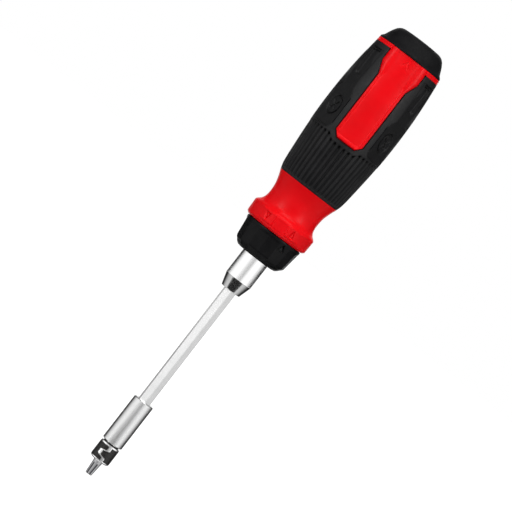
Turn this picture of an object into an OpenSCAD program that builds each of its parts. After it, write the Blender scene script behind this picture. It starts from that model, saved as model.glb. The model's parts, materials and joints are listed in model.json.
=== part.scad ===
// Ratcheting screwdriver with a reversing ring, a cushioned three-lobed handle and bits stored
// in the handle. Millimetres. The tool's axis is Z, the working tip of the bit is the origin, the
// handle is up, and the front panel of the handle faces -Y.

/* [Bits] */
// Hexagon across flats of the bits and of the shaft
hex_af = 6.35; // [6.30:0.01:6.35]
// Turn of the shaft's flats about its axis, in degrees
hex_turn = -19; // [-30:1:30]
// Length of each blade of a double-ended bit
blade_l = 8.6; // [7.6:0.1:8.6]
// Length of the hexagon between the two blades
bit_hex_l = 15.8; // [14:0.1:16]
// Places for bits in the handle, one of which is empty because its bit is in use
rack_places = 6; // [6:1:6]

/* [Bit holder and shaft] */
// Height of the holder's mouth above the tip of the bit
mouth_z = 8.95; // [8.7:0.05:9.2]
// Outside diameter of the holder's steel sleeve
sleeve_d = 11.6; // [11.2:0.1:12]
// Bottom of the steel sleeve
sleeve_z0 = 19.5; // [19.4:0.1:20]
// Top of the steel sleeve
sleeve_z1 = 46; // [44:0.5:50]
// Outside diameter of the black band at the mouth
band_d = 11; // [10.8:0.1:11.4]
// Start of the cone of the shaft's collar
cone_z = 116.5; // [100:0.5:118]
// Outside diameter of the shaft's collar
shank_collar_d = 15.15; // [14.6:0.05:15.4]

/* [Reversing ring and ratchet] */
// Bottom of the reversing ring
ring_z0 = 137.15; // [137:0.05:137.4]
// Turn of the ring from one mark to the next, in degrees
ring_step = 29; // [25:1:30]
// Teeth of the ratchet gear, a multiple of four
gear_teeth = 36; // [36, 40]
// Radius over the tips of the gear's teeth
gear_tip_r = 7.2; // [7:0.05:7.2]
// Lift of a pawl out of the teeth, in degrees about its pin
pawl_lift = 9; // [8.5:0.5:9]

/* [Handle] */
// Bottom of the handle, just above the reversing ring
handle_z = 152.65; // [152.6:0.05:152.8]
// Bottom of the rubber grip
grip_z0 = 180; // [179:0.5:181]
// Top of the rubber grip
grip_z1 = 261; // [260:0.5:261]
// Top of the handle's body, under the cap
handle_z1 = 263.25; // [263:0.05:263.4]
// Flat end of the cap
top_z = 273.5; // [273:0.5:275]
// Thickness of the rubber over the handle's body
grip_t = 3.4; // [3.3:0.1:3.5]
// Fine vertical ribs round the lower part of the grip
ribs = 45; // [36:3:60]
// Radius of the bit store inside the handle
store_r = 13.6; // [13.4:0.1:13.7]
// Travel of the cap and its rack out of the handle
rack_travel = 54; // [40:1:54]

/* [Hidden] */

$fn = 96;
eps = 0.01;
fit = 0.04;          // radial clearance of a running fit
lobes = 3;           // red panels round the handle
bit_l = 2 * blade_l + bit_hex_l;
far_out = 40;        // farther from the axis than anything in the handle

// Holder
socket_af = hex_af + 0.07;
nose_r = 4.4;
collar_z0 = mouth_z - 0.3;
collar_z1 = sleeve_z0 - 0.75;
band_r = band_d / 2;
band_in_r = band_r - 0.4;
band_z0 = collar_z0 + 0.95;
band_z1 = collar_z1 - 0.95;
bit_clip_z = 20.9;
clip_groove_r = 4;
magnet_z = bit_l + 0.2;
magnet_l = 2;
magnet_r = 3.2;
shaft_z0 = magnet_z + magnet_l;

// Shaft's collar, its journal and the two bushings
cone_r = 5.6;
cone_l = 6.6;
shank_r = shank_collar_d / 2;
shoulder_z = ring_z0 + 1.15;
journal_r = 5.4;
bush_r = 6.6;
neck_r = 8;
neck_z = shoulder_z + 0.75;
floor_z = handle_z + 1.95;
gear_z = floor_z + 0.6;
gear_l = 6;
tail_r = 2.9;
tail_z = gear_z + gear_l + 0.3;
shaft_z1 = tail_z + 6.2;

// Ratchet
gear_root_r = gear_tip_r - 0.7;
gear_pitch = 360 / gear_teeth;
cup_in_r = 11.4;
cup_r = 12.6;
cover_step_r = 11.9;
cover_z = gear_z + gear_l + 0.4;
cover_t = 2.2;
cover_clip_z = cover_z + cover_t + 0.05;
clip_t = 0.9;
cup_z1 = cover_clip_z + clip_t + 1.2;
pawl_z = floor_z + 0.35;
pawl_l = gear_l + 0.1;
pivot_r = 9.4;
pivot_a = 60;        // pivots at 60 and 120 degrees
pawl_out_r = 9.5;
pawl_boss_r = 1.5;
pin_r = 0.8;
post_a = 18;
post_r = 9.2;
post_pin_r = 0.6;
post_z = handle_z - 1.6;
ring_travel = 2 * ring_step;
cam_depth = 1.75;

// Reversing ring: height above its bottom and radius
ring_z1 = handle_z - 0.3;
ring_clip_z = neck_z + 0.55;
ring_groove_r = neck_r - 0.7;
detent_z = ring_z0 + 8.6;
detent_r = 1.25;
race_r = 9.0;
pointer_a = -90 + ring_step;

// Handle: height and radius of the outline, which a smooth curve joins
grip_curve = [[180, 17.45], [184, 18.6], [195, 19.75], [208, 20.75], [222, 21.2], [237, 20.95],
    [250, 20.05], [264, 18.65]];
neck_curve = [[161.7, 17.8], [163, 16.6], [165, 15.3], [168.5, 14.75], [173, 15.15],
    [177, 16.2], [180, 17.4]];
panel_half = [[5.5, 209.75], [8.4, 213], [8.4, 247.5], [11.2, 254.5], [11.2, grip_z1]];
inlay_half = [[4, 212.2], [6, 214.4], [6, 249], [8.6, 255.6], [8.6, grip_z1 - 1]];
side_half = [[7.2, 210.2], [9.6, 213], [9.6, 228.5], [6.6, 233.5], [6.6, 256], [4.6, 259]];
side_curve = [[205, 18.7], [222, 18.45], [236, 18.75], [249, 19.15], [264, 19.25]];
slot_half = [[2.2, 240.5], [3.2, 242], [3.2, 255.5], [2.2, 257]];
icon_z = 221.75;
icon_r = 5.4;
rib_top_z = 209;
rib_depth = 0.5;
store_floor_z = 198;
rack_z = 200;
foot_t = 4;
clip_z = 214;
clip_disc_t = 6;
rack_r = store_r - 0.3;
place_r = 9.2;
stem_r = 4.2;
bit_z = rack_z + foot_t - 2.4;
plug_z = 256.5;
plug_r = store_r - 0.25;

// Radius at height z of the smooth curve through the stations in p.
function slope(p, i) =
    let (a = max(i - 1, 0), b = min(i + 1, len(p) - 1)) (p[b][1] - p[a][1]) / (p[b][0] - p[a][0]);
function on_curve(p, i, z) =
    let (h = p[i + 1][0] - p[i][0], t = (z - p[i][0]) / h, t2 = t * t, t3 = t2 * t)
    (2 * t3 - 3 * t2 + 1) * p[i][1] + (t3 - 2 * t2 + t) * h * slope(p, i)
    + (3 * t2 - 2 * t3) * p[i + 1][1] + (t3 - t2) * h * slope(p, i + 1);
function radius_at(p, z) =
    on_curve(p, max([for (i = [0 : len(p) - 2]) if (i == 0 || z >= p[i][0]) i]), z);
function outline(p, z0, z1, steps, inset = 0) =
    [for (k = [0 : steps]) let (z = z0 + (z1 - z0) * k / steps) [radius_at(p, z) - inset, z]];
function reverse(v) = [for (i = [len(v) - 1 : -1 : 0]) v[i]];
function mirrored(half) = concat(half, [for (p = reverse(half)) [-p[0], p[1]]]);
function polar(r, a) = [r * cos(a), r * sin(a)];
function turned(p, c, a) =
    let (d = p - c) c + [d[0] * cos(a) - d[1] * sin(a), d[0] * sin(a) + d[1] * cos(a)];
function arc(r, a0, a1, steps) = [for (k = [0 : steps]) polar(r, a0 + (a1 - a0) * k / steps)];

// A prism that runs out towards -Y from the axis, with its outline in X and Z.
module outward(half, from = 5, to = far_out) {
    translate([0, -from, 0]) rotate([90, 0, 0])
        linear_extrude(to - from) polygon(mirrored(half));
}

module at_lobes() {
    for (i = [0 : lobes - 1]) rotate([0, 0, i * 360 / lobes]) children();
}

module at_sides() {
    for (i = [0 : lobes - 1]) rotate([0, 0, (i + 0.5) * 360 / lobes]) children();
}

module ring_of(r_in, r_out, z, h) {
    translate([0, 0, z]) difference() {
        cylinder(r = r_out, h = h);
        translate([0, 0, -1]) cylinder(r = r_in, h = h + 2);
    }
}

module hexagon(af, z, h, turn = hex_turn) {
    rotate([0, 0, turn]) translate([0, 0, z]) cylinder(r = af / sqrt(3), h = h, $fn = 6);
}

// Blades. Each points down from z = 0 and is blade_l long.
module star_blade() {
    tilt = 5.5;
    translate([0, 0, -blade_l]) difference() {
        cylinder(r1 = 1.75, r2 = 2.6, h = blade_l);
        for (i = [0 : 5]) rotate([0, 0, i * 60]) translate([1.95, 0, -1]) rotate([0, tilt, 0])
            cylinder(r = 0.55, h = blade_l - 0.4);
    }
}

module cross_blade() {
    core = 1.1;
    translate([0, 0, -blade_l]) difference() {
        union() {
            cylinder(r1 = 0.9, r2 = 2.9, h = 3.6);
            translate([0, 0, 3.6 - eps]) cylinder(r = 2.9, h = blade_l - 3.6 + eps);
        }
        for (i = [0 : 3]) rotate([0, 0, 45 + i * 90]) translate([core, 0, -0.2])
            rotate([0, 24, 0]) translate([0, -0.9, -2]) cube([6, 1.8, 9]);
    }
}

module flat_blade() {
    translate([0, 0, -blade_l]) intersection() {
        cylinder(r = 3, h = blade_l);
        rotate([90, 0, 0]) translate([0, 0, -4]) linear_extrude(8)
            polygon([[-0.5, 0], [0.5, 0], [2.9, blade_l], [-2.9, blade_l]]);
    }
}

module square_blade() {
    side = 3.1;
    translate([0, 0, -blade_l]) intersection() {
        translate([-side / 2, -side / 2, 0]) cube([side, side, blade_l]);
        cylinder(r1 = 1.75, r2 = 3.4, h = blade_l);
    }
}

module blade(kind) {
    if (kind == 0) star_blade();
    if (kind == 1) cross_blade();
    if (kind == 2) flat_blade();
    if (kind == 3) square_blade();
}

// A double-ended bit that stands on its lower blade's tip.
module double_bit(lower, upper) {
    union() {
        translate([0, 0, blade_l]) blade(lower);
        intersection() {
            hexagon(hex_af, blade_l, bit_hex_l, 0);
            translate([0, 0, blade_l]) cylinder(r1 = 3, r2 = 3 + bit_hex_l, h = bit_hex_l);
            translate([0, 0, blade_l]) cylinder(r1 = 3 + bit_hex_l, r2 = 3, h = bit_hex_l);
        }
        translate([0, 0, blade_l + bit_hex_l]) mirror([0, 0, 1]) blade(upper);
    }
}

module insert_bit() {
    color("silver") rotate([0, 0, hex_turn]) double_bit(0, 1);
}

// Steel holder: hexagon socket for the bit below, room for its rear blade, magnet and shaft above.
module bit_holder() {
    edge = 0.35;
    color("lightgray") difference() {
        rotate_extrude() polygon([[0, mouth_z], [nose_r - edge, mouth_z], [nose_r, mouth_z + edge],
            [nose_r, sleeve_z0], [sleeve_d / 2 - edge, sleeve_z0],
            [sleeve_d / 2, sleeve_z0 + edge], [sleeve_d / 2, sleeve_z1 - edge],
            [sleeve_d / 2 - edge, sleeve_z1], [0, sleeve_z1]]);
        hexagon(socket_af, mouth_z - 1, blade_l + bit_hex_l + 1.4 - mouth_z + 1);
        translate([0, 0, mouth_z - 1]) cylinder(r = magnet_r, h = shaft_z0 - mouth_z + 1);
        ring_of(0.1, clip_groove_r, bit_clip_z, 0.7);
        hexagon(hex_af, shaft_z0, sleeve_z1 - shaft_z0 + 1);
    }
}

// Steel ring pressed on the holder's nose, with a bare rim at each end of its waist.
module mouth_collar() {
    rim_r = band_r - 0.12;
    color("gainsboro") rotate_extrude() polygon([[nose_r, collar_z0],
        [rim_r - 0.5, collar_z0], [rim_r, collar_z0 + 0.5], [rim_r, band_z0],
        [band_in_r, band_z0], [band_in_r, band_z1], [rim_r, band_z1], [rim_r, collar_z1 - 0.2],
        [rim_r - 0.3, collar_z1], [nose_r, collar_z1]]);
}

// Black band wrapped round the waist. Its two ends meet in a tongue and a notch, with a gap
// between them through which the steel shows.
module collar_band() {
    h = band_z1 - band_z0;
    gap = 2.1;
    swing = 3.6;
    x = 1.1;
    left = [[x, 0], [x, 0.2], [x - swing, 0.33], [x - swing, 0.61], [x, 0.73], [x, 1]];
    color("#181818") difference() {
        ring_of(band_in_r, band_r, band_z0, h);
        translate([0, 0, band_z0]) rotate([90, 0, 0]) linear_extrude(far_out) polygon(concat(
            [for (p = left) [p[0] - gap / 2, p[1] * (h + 0.02) - 0.01]],
            [for (p = reverse(left)) [p[0] + gap / 2, p[1] * (h + 0.02) - 0.01]]));
    }
}

// Spring clip in a groove of the socket, open on one side.
module bit_clip() {
    color("dimgray") difference() {
        ring_of(3.25, clip_groove_r, bit_clip_z + 0.05, 0.6);
        translate([0, -1, bit_clip_z - 1]) cube([6, 2, 3]);
        hexagon(hex_af + 0.06, bit_clip_z - 1, 3);
    }
}

module magnet() {
    color("gray") translate([0, 0, magnet_z]) cylinder(r = magnet_r, h = magnet_l);
}

// Hexagon bar with a round tail in the rear bushing.
module hex_shaft() {
    color("lightgray") difference() {
        union() {
            hexagon(hex_af, shaft_z0, tail_z - shaft_z0);
            translate([0, 0, tail_z - eps]) cylinder(r = tail_r, h = shaft_z1 - tail_z + eps);
        }
        ring_of(tail_r - 0.45, tail_r + 1, cover_clip_z + 1.05, 0.75);
    }
}

// Turned collar pressed on the bar: a cone, a visible cylinder and the journal above it.
module shank_collar() {
    color("lightgray") difference() {
        rotate_extrude() polygon([[0, cone_z], [cone_r - 0.3, cone_z], [cone_r, cone_z + 0.25],
            [shank_r - 0.08, cone_z + cone_l], [shank_r, cone_z + cone_l + 0.3],
            [shank_r, ring_z0 - 0.15], [shank_r - 0.3, ring_z0 - 0.15],
            [shank_r - 0.3, shoulder_z], [journal_r, shoulder_z],
            [journal_r, gear_z], [0, gear_z]]);
        hexagon(hex_af, cone_z - 1, gear_z - cone_z + 2);
    }
}

module thrust_washer() {
    color("darkgoldenrod") ring_of(journal_r + 0.15, neck_r - 0.1, shoulder_z + 0.05, 0.65);
}

module front_bushing() {
    color("darkgoldenrod") ring_of(journal_r + fit, bush_r, neck_z, floor_z - neck_z);
}

module gear_outline(extra = 0) {
    polygon([for (i = [0 : 2 * gear_teeth - 1])
        polar((i % 2 == 0 ? gear_tip_r : gear_root_r) + extra, i * gear_pitch / 2)]);
}

module ratchet_gear() {
    color("slategray") difference() {
        translate([0, 0, gear_z]) linear_extrude(gear_l) gear_outline();
        hexagon(hex_af, gear_z - 1, gear_l + 2);
    }
}

module rear_bushing() {
    color("darkgoldenrod") ring_of(tail_r + fit, 4.4, cover_z, cover_t);
}

module shaft_clip() {
    color("dimgray") difference() {
        ring_of(tail_r - 0.43, 4.6, cover_clip_z + 1.1, 0.65);
        translate([-1.6, 0, cover_clip_z]) cube([3.2, 6, 3]);
    }
}

// Rubber lip seal pressed into the bottom of the reversing ring.
module dust_seal() {
    color("#202020") ring_of(shank_r + 0.1, 10.3, ring_z0 + 0.15, 0.85);
}

// Track that a pawl's post leaves in the reversing ring as both move, from rest to full travel.
// The post turns about pivot from angle lift_0 to lift_1.
module cam_track(pivot, post, lift_0, lift_1) {
    steps = 8;
    r = post_pin_r + 0.15;
    mid = [for (k = [0 : steps]) let (t = k / steps)
        turned(turned(post, pivot, lift_0 + (lift_1 - lift_0) * t), [0, 0], ring_travel * t)];
    inner = [for (p = mid) p * (1 - r / norm(p))];
    outer = [for (p = mid) p * (1 + r / norm(p))];
    translate([0, 0, ring_z1 - cam_depth]) {
        linear_extrude(cam_depth + 1) polygon(concat(inner, reverse(outer)));
        for (p = [mid[0], mid[steps]]) translate(p) cylinder(r = r, h = cam_depth + 1);
    }
}

right_pivot = polar(pivot_r, pivot_a);
left_pivot = polar(pivot_r, 180 - pivot_a);
right_post = polar(post_r, post_a);
left_post = polar(post_r, 180 - post_a);

// Black ring that the fingers turn. It runs on the neck of the housing and its tracks move the pawls.
module reversing_ring() {
    color("#1c1c1c") difference() {
        rotate_extrude() polygon([[neck_r + fit, ring_z0], [11.3, ring_z0], [13.1, 138.3],
            [14.85, 140.7], [15, 142], [15.75, 148.5], [16.55, ring_z1 - 0.15],
            [16.4, ring_z1], [neck_r + fit, ring_z1]]);
        translate([0, 0, ring_z0 - 1]) cylinder(r = 10.3, h = 2);
        translate([0, 0, ring_z0 + 0.9]) cylinder(r = 10.2, h = ring_clip_z + 1 - ring_z0 - 0.9);
        cam_track(right_pivot, right_post, 0, pawl_lift);
        cam_track(left_pivot, left_post, -pawl_lift, 0);
        translate([0, 0, detent_z]) rotate([0, 90, pointer_a])
            cylinder(r = detent_r + 0.05, h = 13.6);
        // pointer, sunk in the face
        rotate([0, 0, pointer_a + 90]) intersection() {
            outward([[2.1, 147.2], [0, 150.9]]);
            rotate_extrude() polygon([[15.3, 146], [20, 146], [20, 152], [15.9, 152]]);
        }
    }
}

module ring_clip() {
    color("dimgray") difference() {
        ring_of(ring_groove_r + fit, 9.9, ring_clip_z + 0.05, 0.7);
        translate([-1.5, 0, ring_clip_z - 1]) cube([3, 12, 3]);
    }
}

module detent_ball() {
    color("silver") rotate([0, 0, pointer_a]) translate([race_r, 0, detent_z]) sphere(r = detent_r);
}

module detent_spring() {
    color("dimgray") rotate([0, 0, pointer_a]) translate([race_r + detent_r + 0.05, 0, detent_z])
        rotate([0, 90, 0]) cylinder(r = 1.1, h = 13.5 - race_r - detent_r - 0.05);
}

// Die-cast cup pressed into the handle. Its neck carries the shaft and the reversing ring.
module ratchet_housing() {
    window_r = 1.45;
    color("gray") difference() {
        union() {
            translate([0, 0, neck_z]) cylinder(r = neck_r, h = handle_z - neck_z + eps);
            translate([0, 0, handle_z]) cylinder(r = cup_r, h = cup_z1 - handle_z);
        }
        translate([0, 0, neck_z - 1]) cylinder(r = bush_r, h = floor_z - neck_z + 2);
        translate([0, 0, floor_z]) cylinder(r = cup_in_r, h = cover_z - floor_z + eps);
        translate([0, 0, cover_z]) cylinder(r = cover_step_r, h = cup_z1 - cover_z + 1);
        ring_of(1, cover_step_r + 0.35, cover_clip_z, clip_t + 0.05);
        ring_of(ring_groove_r, neck_r + 1, ring_clip_z, 0.8);
        translate([0, 0, detent_z]) rotate_extrude()
            translate([race_r - 0.04, 0]) circle(r = detent_r + 0.03, $fn = 48);
        for (k = [0 : 2]) rotate([0, 0, pointer_a - k * ring_step])
            translate([race_r - 0.2, 0, detent_z]) sphere(r = detent_r);
        for (side = [0, 1]) mirror([side, 0, 0]) {
            translate([each turned(right_post, right_pivot, pawl_lift / 2), handle_z - 1])
                cylinder(r = window_r, h = 4);
            translate([each right_pivot, handle_z - 1]) cylinder(r = pin_r, h = 4);
            translate([0, 0, pawl_z + pawl_l / 2]) rotate([0, 90, 36]) translate([0, 0, 9])
                cylinder(r = 1.05, h = 3.2);
        }
    }
}

// Pawl at the right, in mesh with the gear. Its post stands in the reversing ring's track.
module pawl_in_mesh() {
    nose_in_r = gear_root_r - 0.05;
    difference() {
        union() {
            translate([0, 0, pawl_z]) linear_extrude(pawl_l) polygon(concat(
                arc(pawl_out_r, 11, pivot_a, 8), reverse(arc(7.75, 24, pivot_a, 6)),
                reverse(arc(nose_in_r, 11, 24, 4))));
            translate([each right_pivot, pawl_z]) cylinder(r = pawl_boss_r, h = pawl_l);
            translate([each right_post, pawl_z]) cylinder(r = 1, h = pawl_l);
            translate([each right_post, post_z]) cylinder(r = post_pin_r, h = pawl_z - post_z + 1);
        }
        translate([0, 0, pawl_z - 1]) linear_extrude(pawl_l + 2) gear_outline(0.07);
        translate([each right_pivot, pawl_z - 1]) cylinder(r = pin_r + fit, h = pawl_l + 2);
    }
}

module pawl_right() {
    color("slategray") pawl_in_mesh();
}

// The left pawl is the right one's mirror image, lifted out of the teeth.
module pawl_left() {
    color("slategray") translate([each left_pivot, 0]) rotate([0, 0, -pawl_lift])
        translate([each -left_pivot, 0]) mirror([1, 0, 0]) pawl_in_mesh();
}

module pawl_spring(from_r) {
    translate([0, 0, pawl_z + pawl_l / 2]) rotate([0, 90, 36]) translate([0, 0, from_r])
        cylinder(r = 0.95, h = 12.15 - from_r);
}

module pawl_spring_right() {
    color("dimgray") pawl_spring(pawl_out_r + 0.03);
}

module pawl_spring_left() {
    color("dimgray") mirror([1, 0, 0]) pawl_spring(pawl_out_r + 0.75);
}

module pawl_pins() {
    color("silver") for (p = [right_pivot, left_pivot])
        translate([each p, handle_z + 0.1]) cylinder(r = pin_r, h = cover_z + 1.6 - handle_z - 0.1);
}

module housing_cover() {
    color("gray") difference() {
        translate([0, 0, cover_z]) cylinder(r = cover_step_r - 0.03, h = cover_t);
        translate([0, 0, cover_z - 1]) cylinder(r = 4.4, h = cover_t + 2);
        for (p = [right_pivot, left_pivot])
            translate([each p, cover_z - 1]) cylinder(r = pin_r, h = cover_t + 2);
    }
}

module cover_clip() {
    color("dimgray") difference() {
        ring_of(10.3, cover_step_r + 0.3, cover_clip_z + 0.05, clip_t - 0.1);
        translate([-2, 0, cover_clip_z - 1]) cube([4, 20, 4]);
    }
}

// Solid of revolution under the grip's outer surface, less inset.
module grip_body(inset, z0, z1, steps) {
    rotate_extrude() polygon(concat([[0, z0]], outline(grip_curve, z0, z1, steps, inset),
        [[0, z1]]));
}

// Raised pads on the front of the red collar, one for each position of the ring.
module position_pads() {
    pad_z0 = 154.9;
    pad_z1 = 160.7;
    for (k = [-1 : 1]) {
        half_w = (k == 0 ? 11.8 : 13.6);
        rotate([0, 0, k * ring_step]) intersection() {
            rotate_extrude() polygon([[16, pad_z0 - 0.3], [18.3, pad_z0], [18.6, pad_z1 - 0.3],
                [16, pad_z1]]);
            translate([0, 0, pad_z0 - 1]) linear_extrude(pad_z1 - pad_z0 + 2)
                polygon([[0, 0], polar(far_out, -90 - half_w), polar(far_out, -90 + half_w)]);
        }
    }
}

// Triangles sunk in the two outer pads: the left one points down, the right one up.
module position_marks() {
    intersection() {
        union() {
            rotate([0, 0, -ring_step]) outward([[0, 156], [1.15, 159.4]]);
            rotate([0, 0, ring_step]) outward([[1.15, 156], [0, 159.4]]);
        }
        ring_of(18.2, far_out, 150, 15);
    }
}

// Red body of the handle: collar, neck, tube of the bit store, three panels and top ring.
module handle_core() {
    lug_w = 3;
    color("#d2140f") difference() {
        union() {
            rotate_extrude() polygon(concat(
                [[0, handle_z], [16.9, handle_z], [17.95, 153.9], [18.25, 161]],
                outline(neck_curve, 161.7, grip_z0, 12),
                outline(grip_curve, grip_z0, grip_z1, 18, grip_t),
                outline(grip_curve, grip_z1, handle_z1, 1, 0.12), [[0, handle_z1]]));
            position_pads();
            at_lobes() {
                intersection() {
                    outward(panel_half);
                    grip_body(0.8, 208, grip_z1 + 1, 12);
                }
                intersection() {
                    outward(inlay_half);
                    grip_body(0.35, 208, grip_z1 + 1, 12);
                }
            }
        }
        position_marks();
        translate([0, 0, handle_z - 1]) cylinder(r = cup_r, h = cup_z1 - handle_z + 1);
        translate([0, 0, cup_z1 - eps]) cylinder(r = 9, h = 25);
        translate([0, 0, store_floor_z]) cylinder(r = store_r, h = handle_z1 - store_floor_z + 1);
        for (a = [0, 180]) rotate([0, 0, a]) translate([0, -lug_w / 2, rack_z - 2])
            cube([store_r + 0.9, lug_w, foot_t + rack_travel + 2.2]);
    }
}

// Flat recess between two lobes, bounded by the raised frames round the red panels.
module side_recess(half, extra) {
    intersection() {
        outward(half);
        rotate([90, 0, 90]) translate([0, 0, -15]) linear_extrude(30) polygon(concat(
            [for (p = outline(side_curve, 205, 263, 10, extra)) [-p[0], p[1]]],
            [[-far_out, 263], [-far_out, 205]]));
    }
}

// Raised round symbol of a screw's head on a side recess.
module head_symbol(kind) {
    at_z = radius_at(side_curve, icon_z) + 0.3;
    translate([0, -at_z, icon_z]) rotate([-90, 0, 0]) {
        difference() {
            cylinder(r = icon_r, h = 1);
            translate([0, 0, -1]) cylinder(r = icon_r - 0.8, h = 3);
        }
        for (a = kind == 0 ? [45, 135] : [90]) rotate([0, 0, a])
            translate([-3.1, -0.55, 0]) cube([6.2, 1.1, 1]);
    }
}

// Soft black rubber moulded over the body, with a window for each red panel.
module rubber_grip() {
    rib_w = 1.25;
    color("#2b2b2d") {
        difference() {
            grip_body(0, grip_z0, grip_z1, 18);
            rotate_extrude() polygon(concat([[0, grip_z0 - 1], [radius_at(grip_curve, grip_z0)
                - grip_t, grip_z0 - 1]], outline(grip_curve, grip_z0, grip_z1, 18, grip_t),
                [[radius_at(grip_curve, grip_z1) - grip_t, grip_z1 + 1], [0, grip_z1 + 1]]));
            at_lobes() outward(panel_half);
            at_sides() {
                side_recess(side_half, 0);
                side_recess(slot_half, 0.9);
            }
            difference() {
                for (i = [0 : ribs - 1]) rotate([0, 0, -90 + (i + 0.5) * 360 / ribs])
                    translate([10, -rib_w / 2, grip_z0 + 0.8])
                        cube([far_out, rib_w, rib_top_z - grip_z0 - 0.8 - (abs((i + 0.5) %
                            (ribs / lobes) - ribs / lobes / 2) > 5.6 ? 2.4 : 0)]);
                grip_body(rib_depth, grip_z0 - 1, rib_top_z + 1, 7);
            }
        }
        for (i = [0 : lobes - 1]) rotate([0, 0, (i + 0.5) * 360 / lobes])
            head_symbol(i == 1 ? 1 : 0);
    }
}

// Black cap. Its plug closes the bit store and holds the rack's stem.
module end_cap() {
    color("#1c1c1c") difference() {
        union() {
            rotate_extrude() polygon([[0, handle_z1 + 0.1], [18.55, handle_z1 + 0.1],
                [18.6, 264.1], [18.05, 264.6], [17.3, 265.6], [16.4, 267.5], [15.4, 269.5],
                [14.1, 271.5], [12.7, 272.7], [11.4, top_z], [0, top_z]]);
            translate([0, 0, plug_z]) cylinder(r = plug_r, h = handle_z1 - plug_z + 0.2);
        }
        ring_of(plug_r - 1.2, plug_r + 1, 259.2, 1.9);
        translate([0, 0, plug_z - 1]) cylinder(r = stem_r, h = 9);
    }
}

module cap_seal() {
    color("#303030") translate([0, 0, 260.15]) rotate_extrude()
        translate([plug_r - 0.45, 0]) circle(r = 0.65, $fn = 32);
}

// Rack on the cap: a foot with pockets, a clip disc and a stem. Each place is open outwards.
module bit_rack() {
    half_w = (hex_af + 0.1) / 2;
    corner_r = 2 * half_w / sqrt(3);
    color("#3a3a3c") difference() {
        union() {
            translate([0, 0, rack_z]) cylinder(r = rack_r, h = foot_t);
            translate([0, 0, clip_z]) cylinder(r = rack_r, h = clip_disc_t);
            translate([0, 0, rack_z + 1]) cylinder(r = stem_r, h = plug_z + 7 - rack_z);
            for (a = [0, 180]) rotate([0, 0, a]) translate([rack_r - 1, -1.3, rack_z + 0.3])
                cube([store_r + 0.7 - rack_r + 1, 2.6, foot_t - 0.6]);
        }
        for (i = [0 : rack_places - 1]) rotate([0, 0, -90 + i * 60]) {
            translate([place_r, 0, bit_z]) cylinder(r = 3.2, h = 6);
            translate([place_r, 0, clip_z - 1]) linear_extrude(clip_disc_t + 2)
                polygon([[12, -half_w], [12, half_w], [-corner_r / 2, half_w], [-corner_r, 0],
                    [-corner_r / 2, -half_w]]);
        }
    }
}

// Stored bit in place number n of the rack. Place 0, at the front, is the empty one.
module spare_bit(n, lower, upper) {
    color("silver") rotate([0, 0, -90 + n * 60]) translate([place_r, 0, bit_z + 0.05])
        double_bit(lower, upper);
}

module spare_bit_1() {
    spare_bit(1, 1, 1);
}

module spare_bit_2() {
    spare_bit(2, 2, 2);
}

module spare_bit_3() {
    spare_bit(3, 3, 0);
}

module spare_bit_4() {
    spare_bit(4, 0, 3);
}

module spare_bit_5() {
    spare_bit(5, 2, 1);
}

insert_bit();
bit_holder();
mouth_collar();
collar_band();
bit_clip();
magnet();
hex_shaft();
shank_collar();
thrust_washer();
front_bushing();
ratchet_gear();
rear_bushing();
shaft_clip();
dust_seal();
reversing_ring();
ring_clip();
detent_ball();
detent_spring();
ratchet_housing();
pawl_right();
pawl_left();
pawl_spring_right();
pawl_spring_left();
pawl_pins();
housing_cover();
cover_clip();
handle_core();
rubber_grip();
end_cap();
cap_seal();
bit_rack();
spare_bit_1();
spare_bit_2();
spare_bit_3();
spare_bit_4();
spare_bit_5();
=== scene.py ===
import json
import math
import bmesh
import bpy
from mathutils import Matrix, Vector

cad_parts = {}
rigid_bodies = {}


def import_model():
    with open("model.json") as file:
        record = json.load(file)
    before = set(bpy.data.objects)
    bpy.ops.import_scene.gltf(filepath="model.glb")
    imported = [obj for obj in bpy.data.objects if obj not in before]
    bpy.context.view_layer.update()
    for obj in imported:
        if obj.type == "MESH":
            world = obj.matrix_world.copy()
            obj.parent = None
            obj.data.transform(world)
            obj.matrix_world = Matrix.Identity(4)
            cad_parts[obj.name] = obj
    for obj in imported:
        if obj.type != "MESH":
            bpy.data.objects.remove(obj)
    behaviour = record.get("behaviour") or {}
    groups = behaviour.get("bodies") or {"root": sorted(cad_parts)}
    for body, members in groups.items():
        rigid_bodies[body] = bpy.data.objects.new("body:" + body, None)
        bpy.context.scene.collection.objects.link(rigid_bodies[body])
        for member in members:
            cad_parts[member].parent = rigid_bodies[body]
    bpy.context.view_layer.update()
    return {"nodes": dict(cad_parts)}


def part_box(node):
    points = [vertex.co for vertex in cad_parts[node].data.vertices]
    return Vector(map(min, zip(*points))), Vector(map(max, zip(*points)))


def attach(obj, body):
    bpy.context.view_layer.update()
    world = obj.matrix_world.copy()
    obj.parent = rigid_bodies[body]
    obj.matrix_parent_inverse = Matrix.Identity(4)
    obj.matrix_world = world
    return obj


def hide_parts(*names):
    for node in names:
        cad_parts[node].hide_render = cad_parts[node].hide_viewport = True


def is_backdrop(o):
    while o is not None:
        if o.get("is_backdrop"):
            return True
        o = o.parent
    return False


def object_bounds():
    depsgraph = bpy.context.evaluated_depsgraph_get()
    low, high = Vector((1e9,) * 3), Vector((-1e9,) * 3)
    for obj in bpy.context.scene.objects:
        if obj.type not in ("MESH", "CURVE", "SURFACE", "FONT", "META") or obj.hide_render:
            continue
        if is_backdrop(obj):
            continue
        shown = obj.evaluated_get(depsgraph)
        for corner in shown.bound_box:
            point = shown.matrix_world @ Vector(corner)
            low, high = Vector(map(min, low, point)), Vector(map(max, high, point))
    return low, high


for leftover in list(bpy.data.objects):
    bpy.data.objects.remove(leftover)
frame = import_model()
MM = 0.001

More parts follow.
